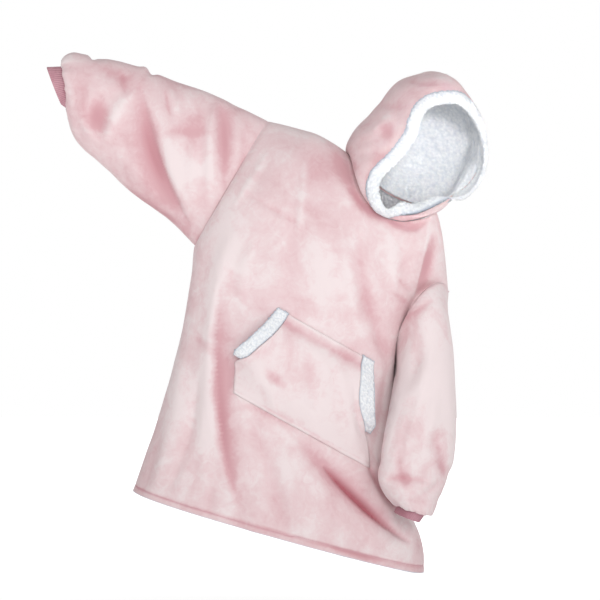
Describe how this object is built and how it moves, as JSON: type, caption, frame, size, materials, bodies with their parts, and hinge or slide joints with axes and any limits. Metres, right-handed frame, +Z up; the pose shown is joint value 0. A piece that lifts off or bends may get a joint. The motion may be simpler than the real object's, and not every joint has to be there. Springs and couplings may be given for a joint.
{
  "type": "wearable blanket hoodie",
  "caption": "Oversized pink plush wearable blanket hoodie in its worn form, one arm raised, with white sherpa hood band, pocket trims and lining.",
  "frame": {"origin": "middle of the neck opening, between the two ends of the shoulder seams, where the wearer's neck carries the garment", "axes": "+X to the wearer's left, +Y from front to back, +Z up, as it hangs on a standing wearer who leans to their left with the right arm raised"},
  "size_m": [1.0566, 0.4082, 1.2414],
  "materials": {
    "plush": "brushed pile",
    "sherpa": "curly pile",
    "cuff_knit": "ribbed knit"
  },
  "bodies": {
    "root": {"front": "plush", "back": "plush", "sleeve_right": "plush", "sleeve_left": "plush", "hood_right": "plush", "hood_left": "plush", "pocket": "plush", "hood_lining_right": "sherpa", "hood_lining_left": "sherpa", "hood_band": "sherpa", "pocket_trim_right": "sherpa", "pocket_trim_left": "sherpa", "cuff_right": "cuff_knit", "cuff_left": "cuff_knit"}
  },
  "joints": []
}
